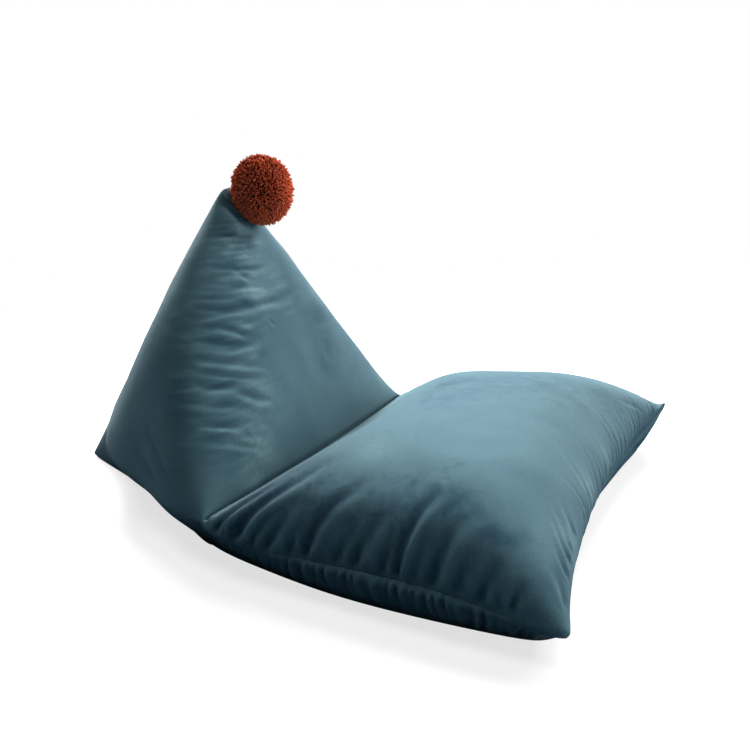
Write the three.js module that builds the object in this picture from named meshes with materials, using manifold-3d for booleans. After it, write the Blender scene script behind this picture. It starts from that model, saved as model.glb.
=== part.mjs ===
// Floor pouf: a child's low velvet lounger. One filled bag makes a pillow-like seat and,
// past a sewn crease, a pointed back whose rear closes in one upright seam.
// A yarn pompom is sewn to the front of the tip.
// Millimetres, +Z up, X across, the front of the seat at -Y and the back at +Y.

import * as THREE from 'three';
import { mergeVertices } from 'three/addons/utils/BufferGeometryUtils.js';
import Module from 'manifold-3d';

const wasm = await Module();
wasm.setup();

// Driving dimensions of the bag
const FRONT_WIDTH = 594; // from one front corner to the other
const BAG_LENGTH = 910; // from the front corners to the foot of the rear seam
const TIP_HEIGHT = 438; // rear edge of the tip above the floor
const CREASE_Y = 445; // where seat and back meet, measured back from the front corners
const CREASE_Z = 62;
const HALF = FRONT_WIDTH / 2;

// How finely the bag is divided
const SEAT_STEPS = 32;
const BACK_STEPS = 32;
const TOP_STEPS = 26;
const SIDE_STEPS = 6;

// Past the crease the side seam runs out and the base panel's cloth rounds into the flank
const RUN_OUT = 0.3; // share of the back over which it does so
const ROUNDNESS = 0.6;

// Sections across the bag, from the front seam back. Each row pulls the skin towards itself.
// lowY, lowZ: the floor line of the section; topY, topZ: its highest line
// half, seamZ: half width and height of the side seam; floorHalf: half width on the floor
// belly: how far the base panel swells out below the seam
// full: roundness of the crown, 2 for an ellipse and more for a squarer one
// drawLow, drawTop: how far the middle is drawn back behind the sides
const COLUMNS = [
  'lowY', 'lowZ', 'topY', 'topZ', 'half', 'seamZ', 'floorHalf', 'belly', 'full', 'drawLow', 'drawTop',
];
const SEAT_SECTIONS = [
  [10, 28, 10, 33, HALF, 29, 291, 0, 1.9, 39, 42],
  [25, 11, -6, 57, HALF + 4, 31, 280, 6, 2.1, 40, 30],
  [40, 0, 35, 120, HALF + 7, 33, 273, 14, 2.5, 30, 40],
  [82, 0, 125, 157, HALF + 1, 42, 277, 18, 2.6, 8, 21],
  [177, 0, 230, 152, HALF - 9, 47, 278, 16, 2.6, -1, -14],
  [279, 0, 322, 149, HALF - 15, 43, 273, 13, 2.8, -2, -32],
  [378, 0, 382, 119, HALF - 18, 42, 253, 11, 3.3, 2, -44],
  [439, 0, 428, 84, HALF - 21, 47, 239, 7, 3.3, 0, -38],
  [466, 0, 441, 69, HALF - 24, 56, 230, 6, 3.1, -3, -26],
  [484, 0, CREASE_Y, CREASE_Z, HALF - 23, 59, 223, 5, 2.8, -5, -11],
];
const BACK_SECTIONS = [
  SEAT_SECTIONS[SEAT_SECTIONS.length - 1],
  [488, 0, 435, 89, HALF - 29, 60, 225, 0, 2.5, -2, -3],
  [527, 0, 476, 188, HALF - 35, 55, 203, -3, 2.8, -1, 0],
  [625, 0, 513, 281, HALF - 80, 73, 139, -4, 2.9, 0, -2],
  [752, 0, 555, 357, 178, 78, 75, -4, 2.9, -1, -4],
  [842, 0, 579, 411, 90, 116, 34, -3, 2.9, -1, -4],
  [BAG_LENGTH - 6, 3, 592, TIP_HEIGHT + 7, 24, 119, 9, 0, 2.9, 0, -1],
  [BAG_LENGTH, 5, 592, TIP_HEIGHT, 4, 51, 3, 0, 3.0, 0, 0],
];

// The bag isn't quite even: the front corner at +X stands up as an ear,
// the front seam runs a little askew, and the tip and the foot of the rear seam lean apart.
const EAR_LIFT = 42;
const EAR_REACH = 0.45; // share of the seat's length
const FRONT_SKEW = 8;
const TIP_LEAN = 33;
const FOOT_LEAN = -20;
const TIP_BLUNT = 14; // half width added to the stuffed tip

// Soft folds that fan out from the ends of the crease over the seat's flanks.
// side: -1 or 1; start: distance from the crease along the side seam
// slant: how far the fold runs forward as it climbs; climb: height where it has died out
const FOLD_COLUMNS = ['side', 'start', 'slant', 'climb', 'width', 'depth'];
const FOLDS = [
  [-1, 26, 30, 0.8, 13, 5],
  [-1, 62, 62, 0.85, 14, 5],
  [-1, 104, 78, 0.8, 15, 4],
  [-1, 196, 70, 0.6, 14, 3.5],
  [-1, 262, 60, 0.6, 13, 3],
  [1, 32, 36, 0.8, 14, 5],
  [1, 84, 70, 0.8, 15, 4],
  [1, 180, 60, 0.6, 14, 3],
];

// Pompom of cut yarn
const POMPOM_PLACE = [45, 541, 433]; // its middle, in the bag's own measures
const POMPOM_WIDTH = 93;
const POMPOM_HEIGHT = 104;
const POMPOM_CORE = 62; // diameter of the tied middle
const LOCK_COUNT = 230;
const LOCK_SIDES = 3;
const LOCK_ROOT = 2.6; // radius of a lock where it leaves the core
const LOCK_END = 4.3; // radius of a lock at its cut end
const LOCK_UNEVEN = 3; // how much the cut ends differ in length
const LOCK_SUNK = 3; // how deep a root runs into the core
const SEAT_GAP = 0.4; // clearance between the yarn and the cloth

const velvet = new THREE.MeshStandardMaterial({ color: 0x466e76, roughness: 0.85, metalness: 0 });
const yarn = new THREE.MeshStandardMaterial({ color: 0xa4583a, roughness: 1, metalness: 0 });

// A row of a table as an object with the column names as its keys
function named(columns, row) {
  return Object.fromEntries(columns.map((column, i) => [column, row[i]]));
}

function smooth(share) {
  const s = THREE.MathUtils.clamp(share, 0, 1);
  return s * s * (3 - 2 * s);
}

// The row at share t of a list of rows: a clamped cubic B-spline, which starts on the first
// row, ends on the last and is pulled towards each of the others (de Boor's rule)
function pulledRow(rows, t) {
  const degree = 3;
  const spans = rows.length - degree;
  const x = t * spans;
  const span = Math.min(Math.floor(x), spans - 1);
  const knot = (i) => THREE.MathUtils.clamp(i - degree, 0, spans);
  const work = rows.slice(span, span + degree + 1).map((row) => [...row]);
  for (let round = 1; round <= degree; round += 1) {
    for (let j = degree; j >= round; j -= 1) {
      const low = knot(span + j);
      const high = knot(span + j + 1 + degree - round);
      const share = (x - low) / (high - low);
      work[j] = work[j].map((value, c) => work[j - 1][c] * (1 - share) + value * share);
    }
  }
  return work[degree];
}

// Across and height of a section's points: from the left seam over the crown to the right
// seam, down the right side, along the floor and up the left side. Under the seat the side
// turns in sharply below its seam; under the back the cloth rounds down to the floor.
function sectionOutline(s, roundness) {
  const outline = [];
  for (let i = 0; i <= TOP_STEPS; i += 1) {
    const turn = (Math.PI * i) / TOP_STEPS;
    const across = -Math.cos(turn);
    const rise = Math.abs(Math.sin(turn)) ** (2 / s.full);
    outline.push([
      s.half * Math.sign(across) * Math.abs(across) ** (2 / s.full),
      i % TOP_STEPS === 0 ? s.seamZ : s.seamZ + (s.topZ - s.seamZ) * rise,
    ]);
  }
  const side = [];
  for (let i = 1; i < SIDE_STEPS; i += 1) {
    const share = i / SIDE_STEPS;
    const turn = (Math.PI / 2) * share;
    const out = THREE.MathUtils.lerp(1 - Math.sin(turn), Math.cos(turn), roundness);
    const up = THREE.MathUtils.lerp(Math.cos(turn), 1 - Math.sin(turn), roundness);
    side.push([
      s.floorHalf + (s.half - s.floorHalf) * out + s.belly * Math.sin(Math.PI * share),
      s.lowZ + (s.seamZ - s.lowZ) * up,
    ]);
  }
  outline.push(...side);
  const floorSteps = TOP_STEPS - 2 * SIDE_STEPS;
  for (let i = 0; i <= floorSteps; i += 1) {
    outline.push([s.floorHalf * (1 - (2 * i) / floorSteps), s.lowZ]);
  }
  outline.push(...side.reverse().map(([across, height]) => [-across, height]));
  return outline;
}

// One section as points, with what the later steps need to know about each of them
function sectionPoints(row, seatShare, backShare) {
  const s = named(COLUMNS, row);
  const roundness = ROUNDNESS * smooth(backShare / RUN_OUT);
  return sectionOutline(s, roundness).map(([across, height]) => {
    const climb = THREE.MathUtils.clamp((height - s.lowZ) / (s.topZ - s.lowZ), 0, 1);
    const draw = THREE.MathUtils.lerp(s.drawLow, s.drawTop, climb);
    const inward = 1 - Math.min(Math.abs(across) / s.half, 1) ** 2;
    const along = THREE.MathUtils.lerp(s.lowY, s.topY, climb) + draw * inward;
    const place = new THREE.Vector3(across, along, height);
    unevenFront(place, s, seatShare);
    unevenBack(place, climb, backShare);
    return place;
  });
}

function unevenFront(place, s, seatShare) {
  const near = Math.max(1 - seatShare / EAR_REACH, 0) ** 2;
  const rightward = THREE.MathUtils.clamp(place.x / s.half, 0, 1) ** 3;
  const offFloor = THREE.MathUtils.clamp(place.z / 30, 0, 1);
  place.y -= FRONT_SKEW * near * (place.x / HALF);
  place.z += EAR_LIFT * near * rightward * offFloor;
}

function unevenBack(place, climb, backShare) {
  const nearRear = smooth(backShare);
  const nearTip = THREE.MathUtils.clamp(backShare * 2 - 1, 0, 1) * climb ** 6;
  place.x += Math.tanh(place.x / 4) * TIP_BLUNT * nearTip;
  place.x += nearRear * THREE.MathUtils.lerp(FOOT_LEAN, TIP_LEAN, climb);
}

// Lowers the seat's flanks along the folds, which start on the side seam near the crease
function foldIn(rings) {
  for (const row of FOLDS) {
    const fold = named(FOLD_COLUMNS, row);
    for (const ring of rings.slice(0, SEAT_STEPS)) {
      for (let i = 1; i < TOP_STEPS; i += 1) {
        const place = ring[i];
        const turn = i / TOP_STEPS;
        const climb = 2 * Math.min(turn, 1 - turn);
        if (Math.sign(turn - 0.5) !== fold.side) {
          continue;
        }
        const line = CREASE_Y - fold.start - fold.slant * (climb / fold.climb);
        const off = (place.y - line) / fold.width;
        const strength = smooth(climb * 8) * (1 - smooth(climb / fold.climb));
        const dent = fold.depth * strength * Math.exp(-off * off);
        place.z -= dent;
        place.x -= fold.side * dent * (1 - climb);
      }
    }
  }
}

// Geometry from the rings of points, closed with a narrow strip at the front seam
// and at the rear seam
function skinGeometry(rings) {
  const size = 2 * TOP_STEPS;
  const index = [];
  const quad = (a, b, c, d) => index.push(a, b, c, a, c, d);
  for (let r = 0; r + 1 < rings.length; r += 1) {
    for (let i = 0; i < size; i += 1) {
      const next = (i + 1) % size;
      quad(r * size + i, r * size + next, (r + 1) * size + next, (r + 1) * size + i);
    }
  }
  for (let i = 0; i < TOP_STEPS; i += 1) {
    const under = (size - i) % size;
    if (i === 0) {
      index.push(0, size - 1, 1);
    } else if (i === TOP_STEPS - 1) {
      index.push(i, under, i + 1);
    } else {
      quad(i, under, under - 1, i + 1);
    }
  }
  const rear = (rings.length - 1) * size;
  const crown = TOP_STEPS / 2;
  for (let k = 0; k < TOP_STEPS; k += 1) {
    const left = rear + ((crown - k + size) % size);
    const leftNext = rear + ((crown - k - 1 + size) % size);
    const right = rear + crown + k;
    const rightNext = rear + crown + k + 1;
    if (k === 0) {
      index.push(left, rightNext, leftNext);
    } else if (k === TOP_STEPS - 1) {
      index.push(left, right, rightNext);
    } else {
      quad(left, right, rightNext, leftNext);
    }
  }
  const geometry = new THREE.BufferGeometry();
  const places = rings.flat().flatMap((place) => place.toArray());
  geometry.setAttribute('position', new THREE.Float32BufferAttribute(places, 3));
  geometry.setIndex(index);
  return geometry;
}

function bagGeometry() {
  const rings = [];
  for (let i = 0; i <= SEAT_STEPS; i += 1) {
    const share = i / SEAT_STEPS;
    rings.push(sectionPoints(pulledRow(SEAT_SECTIONS, share), share, 0));
  }
  for (let i = 1; i <= BACK_STEPS; i += 1) {
    const share = i / BACK_STEPS;
    rings.push(sectionPoints(pulledRow(BACK_SECTIONS, share), 1, share));
  }
  foldIn(rings);
  return skinGeometry(rings);
}

// The same closed skin with every point moved out along its normal
function grown(geometry, distance) {
  const bigger = geometry.clone();
  bigger.computeVertexNormals();
  const place = bigger.attributes.position;
  const normal = bigger.attributes.normal;
  for (let i = 0; i < place.count; i += 1) {
    place.setXYZ(
      i,
      place.getX(i) + normal.getX(i) * distance,
      place.getY(i) + normal.getY(i) * distance,
      place.getZ(i) + normal.getZ(i) * distance,
    );
  }
  return bigger;
}

function toSolid(geometry) {
  const bare = geometry.clone();
  bare.deleteAttribute('normal');
  bare.deleteAttribute('uv');
  const merged = mergeVertices(bare, 1e-4);
  return new wasm.Manifold(new wasm.Mesh({
    numProp: 3,
    vertProperties: Float32Array.from(merged.attributes.position.array),
    triVerts: Uint32Array.from(merged.index.array),
  }));
}

function toGeometry(solid) {
  const mesh = solid.getMesh();
  const geometry = new THREE.BufferGeometry();
  geometry.setAttribute('position', new THREE.BufferAttribute(mesh.vertProperties, 3));
  geometry.setIndex(new THREE.BufferAttribute(mesh.triVerts, 1));
  return geometry;
}

// One lock of yarn from inside the core outwards, wider at its cut end
function lockGeometry(direction, length, turn) {
  const root = POMPOM_CORE / 2 - LOCK_SUNK;
  const geometry = new THREE.CylinderGeometry(LOCK_END, LOCK_ROOT, length - root, LOCK_SIDES);
  geometry.rotateY(turn);
  geometry.translate(0, (length + root) / 2, 0);
  const up = new THREE.Vector3(0, 1, 0);
  geometry.applyQuaternion(new THREE.Quaternion().setFromUnitVectors(up, direction));
  return geometry;
}

// Locks spread evenly round the core by the golden angle, cut to a slightly tall ball
function pompomGeometry(bag) {
  const golden = Math.PI * (3 - Math.sqrt(5));
  const pieces = [toSolid(new THREE.IcosahedronGeometry(POMPOM_CORE / 2, 2))];
  for (let i = 0; i < LOCK_COUNT; i += 1) {
    const height = 1 - (2 * i + 1) / LOCK_COUNT;
    const round = Math.sqrt(1 - height * height);
    const turn = golden * i;
    const direction = new THREE.Vector3(round * Math.cos(turn), round * Math.sin(turn), height);
    const ball = THREE.MathUtils.lerp(POMPOM_WIDTH, POMPOM_HEIGHT, height * height) / 2;
    const length = ball - LOCK_UNEVEN * (0.5 + 0.5 * Math.sin(i * 2.3));
    pieces.push(toSolid(lockGeometry(direction, length, i * 1.7)));
  }
  const ball = wasm.Manifold.union(pieces).translate(POMPOM_PLACE);
  const trimmed = ball.subtract(toSolid(grown(bag, SEAT_GAP)));
  const parts = trimmed.decompose().sort((a, b) => b.volume() - a.volume());
  return toGeometry(parts[0]);
}

// The origin lies on the floor under the middle of the whole part
const pouf = new THREE.Group();
const bag = bagGeometry();
const bagMesh = new THREE.Mesh(bag, velvet);
bagMesh.name = 'velvet_bag';
const pompomMesh = new THREE.Mesh(pompomGeometry(bag), yarn);
pompomMesh.name = 'pompom';
pouf.add(bagMesh, pompomMesh);
const reach = new THREE.Box3().setFromObject(pouf);
const middle = reach.getCenter(new THREE.Vector3());
for (const mesh of pouf.children) {
  mesh.position.set(-middle.x, -middle.y, -reach.min.z);
}

export default pouf;
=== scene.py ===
import bpy
import math
import numpy as np
from mathutils import Matrix, Vector, noise
from mathutils.bvhtree import BVHTree


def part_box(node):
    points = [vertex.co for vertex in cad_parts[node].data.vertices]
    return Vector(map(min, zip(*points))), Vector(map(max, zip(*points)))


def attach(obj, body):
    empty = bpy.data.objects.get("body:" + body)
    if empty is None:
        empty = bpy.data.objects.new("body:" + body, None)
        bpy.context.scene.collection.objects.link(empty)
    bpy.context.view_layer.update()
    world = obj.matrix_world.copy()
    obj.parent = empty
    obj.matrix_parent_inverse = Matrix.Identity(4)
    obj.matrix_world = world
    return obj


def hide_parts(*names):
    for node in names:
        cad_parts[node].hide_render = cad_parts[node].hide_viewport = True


# Velvet floor pouf with a yarn pompom. Metres, +Z up, front of the seat at -Y.
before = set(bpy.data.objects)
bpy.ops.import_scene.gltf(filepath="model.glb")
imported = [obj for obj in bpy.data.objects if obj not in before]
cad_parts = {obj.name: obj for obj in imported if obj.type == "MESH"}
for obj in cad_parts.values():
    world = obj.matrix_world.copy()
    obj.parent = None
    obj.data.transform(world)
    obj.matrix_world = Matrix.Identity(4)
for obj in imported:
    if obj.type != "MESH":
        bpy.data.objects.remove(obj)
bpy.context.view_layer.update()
mm = 0.001


# Camera at the photo's angle, from the left of the seat and a little above it
cameraSettings = {
    "azimuth": -61.94,      # degrees round the pouf, 0 looks along +Y
    "elevation": 14.2,
    "roll": -4.02,          # the photo is tilted a little
    "distance": 1.203,
    "aim": (0.1635, -0.0185, 0.126),
    "lens": 34.9, "sensor": 36,     # mm
    "photoSize": 750,       # pixels, for what is placed by the photo
}


def outward(turn, height):
    # the direction away from the pouf, by degrees round it and above the floor
    turn, height = math.radians(turn), math.radians(height)
    flat = math.cos(height)
    return Vector((math.sin(turn) * flat, -math.cos(turn) * flat, math.sin(height)))


def makeCamera(c):
    back = outward(c["azimuth"], c["elevation"])
    azimuth, roll = math.radians(c["azimuth"]), math.radians(c["roll"])
    level = Vector((math.cos(azimuth), math.sin(azimuth), 0))
    upright = back.cross(level)
    right = level * math.cos(roll) + upright * math.sin(roll)
    up = upright * math.cos(roll) - level * math.sin(roll)
    data = bpy.data.cameras.new("photoCamera")
    data.lens = c["lens"]
    data.sensor_width = c["sensor"]
    data.clip_start = 0.05
    camera = bpy.data.objects.new("photoCamera", data)
    bpy.context.collection.objects.link(camera)
    turn = Matrix((right, up, back)).transposed().to_4x4()
    camera.matrix_world = Matrix.Translation(Vector(c["aim"]) + back * c["distance"]) @ turn
    bpy.context.scene.camera = camera


makeCamera(cameraSettings)
print("camera set")


def clip01(value):
    return np.clip(value, 0.0, 1.0)


def smooth(value):
    s = clip01(value)
    return s * s * (3 - 2 * s)


def mix(a, b, share):
    return a * (1 - share) + b * share


# The filled bag: sections in millimetres, from the front seam back.
# lowY, lowZ floor line; topY, topZ highest line; half, seamZ side seam; floorHalf floor edge;
# belly swell of the base panel; full squareness of the crown; drawLow, drawTop drawn-in middle
bagSettings = {
    "columns": (
        "lowY", "lowZ", "topY", "topZ", "half", "seamZ",
        "floorHalf", "belly", "full", "drawLow", "drawTop",
    ),
    "seat": (
        (10, 28, 10, 33, 297, 29, 291, 0, 1.9, 39, 42),
        (25, 11, -6, 57, 301, 31, 280, 6, 2.1, 40, 30),
        (40, 0, 35, 120, 304, 33, 273, 14, 2.5, 30, 40),
        (82, 0, 125, 157, 298, 42, 277, 18, 2.6, 8, 21),
        (177, 0, 230, 152, 288, 47, 278, 16, 2.6, -1, -14),
        (279, 0, 322, 149, 282, 43, 273, 13, 2.8, -2, -32),
        (378, 0, 382, 119, 279, 42, 253, 11, 3.3, 2, -44),
        (439, 0, 428, 84, 276, 47, 239, 7, 3.3, 0, -38),
        (466, 0, 441, 69, 273, 56, 230, 6, 3.1, -3, -26),
        (484, 0, 445, 62, 274, 59, 223, 5, 2.8, -5, -11),
    ),
    "back": (
        (484, 0, 445, 62, 274, 59, 223, 5, 2.8, -5, -11),
        (488, 0, 435, 89, 268, 60, 225, 0, 2.5, -2, -3),
        (527, 0, 476, 188, 262, 55, 203, -3, 2.8, -1, 0),
        (625, 0, 513, 281, 217, 73, 139, -4, 2.9, 0, -2),
        (752, 0, 555, 357, 178, 78, 75, -4, 2.9, -1, -4),
        (842, 0, 579, 411, 90, 116, 34, -3, 2.9, -1, -4),
        (904, 3, 592, 445, 24, 119, 9, 0, 2.9, 0, -1),
        (910, 5, 592, 438, 4, 51, 3, 0, 3.0, 0, 0),
    ),
    "seatRows": 214, "backRows": 174,       # fineness of the mesh
    "crownSteps": 200, "sideSteps": 20, "floorSteps": 12,
    "halfFront": 297,
    "earLift": 42, "earReach": 0.45,        # raised right front ear: mm, share of the seat
    "frontSkew": 8,                         # the front seam lies askew
    "tipLean": 33, "footLean": -20, "tipBlunt": 14,
    "roundness": 0.6, "runOut": 0.3,        # the flanks turn round where the side seams run out
    "footSwell": 9, "footRows": 45,         # fuller under the ends of the crease
    "frontSwell": 8, "seamIn": 7,           # the base swells past the front seam
    "swellRise": 14, "swellRun": 24,
    "swellLeast": 0.2, "swellAcross": (-200, 200), "swellEnds": 90,
    "baseShade": 0.3,                         # painted shade, darker down the sides of the base
    "slowWaves": ((1.2, 95, 1), (0.5, 38, 2)),      # height, length and seed of slow unevenness
    "liftLimits": (-8, 6), "floorFade": 9,          # folds fade towards the floor
}


def pulledRows(rows, shares):
    # clamped cubic B-spline through a list of rows
    rows = np.array(rows, float)
    spans = len(rows) - 3
    x = np.asarray(shares) * spans
    span = np.minimum(x.astype(int), spans - 1)

    def knot(i):
        return np.clip(i - 3, 0, spans).astype(float)

    work = [rows[span + j] for j in range(4)]
    for turn in range(1, 4):
        for j in range(3, turn - 1, -1):
            low = knot(span + j)
            high = knot(span + j + 4 - turn)
            share = ((x - low) / (high - low))[:, None]
            work[j] = mix(work[j - 1], work[j], share)
    return work[3]


def crownPlace(s, turn):
    # across and height at an angle over the crown, 0 on the left seam and pi on the right
    across = -np.cos(turn)
    power = 2 / s["full"]
    x = s["half"] * np.sign(across) * np.abs(across) ** power
    z = s["seamZ"] + (s["topZ"] - s["seamZ"]) * np.abs(np.sin(turn)) ** power
    return x, z


def sidePlace(s, share, roundness):
    # across and height down the base panel, 0 at the seam and 1 at the floor's edge
    turn = share * math.pi / 2
    out = mix(1 - np.sin(turn), np.cos(turn), roundness)
    up = mix(np.cos(turn), 1 - np.sin(turn), roundness)
    x = s["floorHalf"] + (s["half"] - s["floorHalf"]) * out + s["belly"] * np.sin(math.pi * share)
    return x, s["lowZ"] + (s["seamZ"] - s["lowZ"]) * up


def sectionLean(s, x, z):
    climb = clip01((z - s["lowZ"]) / (s["topZ"] - s["lowZ"]))
    draw = mix(s["drawLow"], s["drawTop"], climb)
    inward = 1 - np.minimum(np.abs(x) / s["half"], 1) ** 2
    return mix(s["lowY"], s["topY"], climb) + draw * inward, climb


def evenCrown(s, even):
    # points spaced evenly over the crown, and its length in each row
    dense = np.linspace(0, math.pi, 721)[None, :]
    x, z = crownPlace(s, dense)
    y, _ = sectionLean(s, x, z)
    step = np.sqrt(np.diff(x) ** 2 + np.diff(y) ** 2 + np.diff(z) ** 2)
    length = np.concatenate([np.zeros((len(x), 1)), np.cumsum(step, 1)], 1)
    turn = np.array([np.interp(even * row[-1], row, dense[0]) for row in length])
    turn[:, 0], turn[:, -1] = 0, math.pi
    x, z = crownPlace(s, turn)
    z[:, 0] = z[:, -1] = s["seamZ"][:, 0]
    return x, z, length[:, -1:]


def settled(b, s, place, climb, seatShare, backShare):
    # the bag isn't quite even: a raised front ear, an askew front seam, a leaning tip and foot
    x, y, z = place
    near = np.maximum(1 - seatShare / b["earReach"], 0) ** 2
    y = y - b["frontSkew"] * near * x / b["halfFront"]
    z = z + b["earLift"] * near * clip01(x / s["half"]) ** 3 * clip01(z / 30)
    nearTip = clip01(backShare * 2 - 1) * climb ** 6
    x = x + np.tanh(x / 4) * b["tipBlunt"] * nearTip
    x = x + smooth(backShare) * mix(b["footLean"], b["tipLean"], climb)
    return np.stack([x, y, z], -1)


def bagGrid(b):
    # the smooth filled shape as a grid of points, rows from the front seam to the rear seam
    seat = np.linspace(0, 1, b["seatRows"] + 1)
    back = np.linspace(0, 1, b["backRows"] + 1)[1:]
    table = np.concatenate([pulledRows(b["seat"], seat), pulledRows(b["back"], back)])
    s = {name: table[:, i:i + 1] for i, name in enumerate(b["columns"])}
    seatShare = np.concatenate([seat, np.ones(len(back))])[:, None]
    backShare = np.concatenate([np.zeros(len(seat)), back])[:, None]
    even = np.linspace(0, 1, b["crownSteps"] + 1)
    crownX, crownZ, crownLength = evenCrown(s, even)
    share = np.linspace(0, 1, b["sideSteps"] + 1)[None, 1:-1]
    roundness = b["roundness"] * smooth(backShare / b["runOut"])
    sideX, sideZ = sidePlace(s, share, roundness)
    floorX = s["floorHalf"] * np.linspace(1, -1, b["floorSteps"] + 1)[None, :]
    floorZ = s["lowZ"] + 0 * floorX
    x = np.concatenate([crownX, sideX, floorX, -sideX[:, ::-1]], 1)
    z = np.concatenate([crownZ, sideZ, floorZ, sideZ[:, ::-1]], 1)
    y, climb = sectionLean(s, x, z)
    grid = settled(b, s, (x, y, z), climb, seatShare, backShare)
    return grid, {"crownLength": crownLength, "fromLeft": even[None, :] * crownLength}


def onCadBag(grid):
    # moves the grid to the middle of the CAD bag, on the same floor
    low, high = (np.array(corner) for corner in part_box("velvet_bag"))
    points = grid.reshape(-1, 3)
    shift = (low + high) / 2 / mm - (points.min(0) + points.max(0)) / 2
    shift[2] = low[2] / mm - points[:, 2].min()
    print("bag grid", grid.shape, "moved by", shift.round(2))
    return grid + shift


def gridNormals(grid):
    around = np.roll(grid, -1, 1) - np.roll(grid, 1, 1)
    along = np.gradient(grid, axis=0)
    normal = np.cross(around, along)
    length = np.linalg.norm(normal, axis=-1, keepdims=True)
    return normal / np.maximum(length, 1e-9)


def zipped(lineA, lineB, places):
    # triangles between two lines of points that run side by side
    faces, i, j = [], 0, 0
    while i < len(lineA) - 1 or j < len(lineB) - 1:
        stepA = i < len(lineA) - 1 and (
            j == len(lineB) - 1 or places[lineA[i + 1]][0] <= places[lineB[j + 1]][0]
        )
        if stepA:
            faces.append((lineA[i], lineB[j], lineA[i + 1]))
            i += 1
        else:
            faces.append((lineA[i], lineB[j], lineB[j + 1]))
            j += 1
    return [f for f in faces if len(set(f)) == 3]


def gridQuads(grid):
    rows, size = grid.shape[:2]
    index = np.arange(rows * size).reshape(rows, size)
    nextPoint = np.roll(index, -1, 1)
    quads = np.stack([index[:-1], nextPoint[:-1], nextPoint[1:], index[1:]], -1)
    return quads.reshape(-1, 4).tolist()


def treeOf(grid):
    return BVHTree.FromPolygons((grid.reshape(-1, 3) * mm).tolist(), gridQuads(grid))


def rearFaces(rows, size, crown):
    # sews the last row to itself, from the tip down to the floor
    rear, tip, faces = (rows - 1) * size, crown // 2, []
    left = [rear + (tip - k) % size for k in range(size // 2 + 1)]
    right = [rear + tip + k for k in range(size // 2 + 1)]
    for k in range(size // 2):
        quad = (left[k], right[k], right[k + 1], left[k + 1])
        unique = tuple(dict.fromkeys(quad))
        if len(unique) > 2:
            faces.append(unique)
    return faces


def bagMesh(name, grid, b, marks):
    rows, size = grid.shape[:2]
    crown = b["crownSteps"]
    places = grid.reshape(-1, 3) * mm
    under = [0] + list(range(size - 1, crown, -1)) + [crown]
    front = zipped(list(range(crown + 1)), under, places)
    mesh = bpy.data.meshes.new(name)
    mesh.from_pydata(places.tolist(), [], gridQuads(grid) + front + rearFaces(rows, size, crown))
    for title, values in marks.items():
        place = mesh.attributes.new(title, "FLOAT", "POINT")
        place.data.foreach_set("value", values.reshape(-1))
    mesh.validate()
    mesh.shade_smooth()
    mesh.set_sharp_from_angle(angle=math.radians(55))
    return mesh


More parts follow.
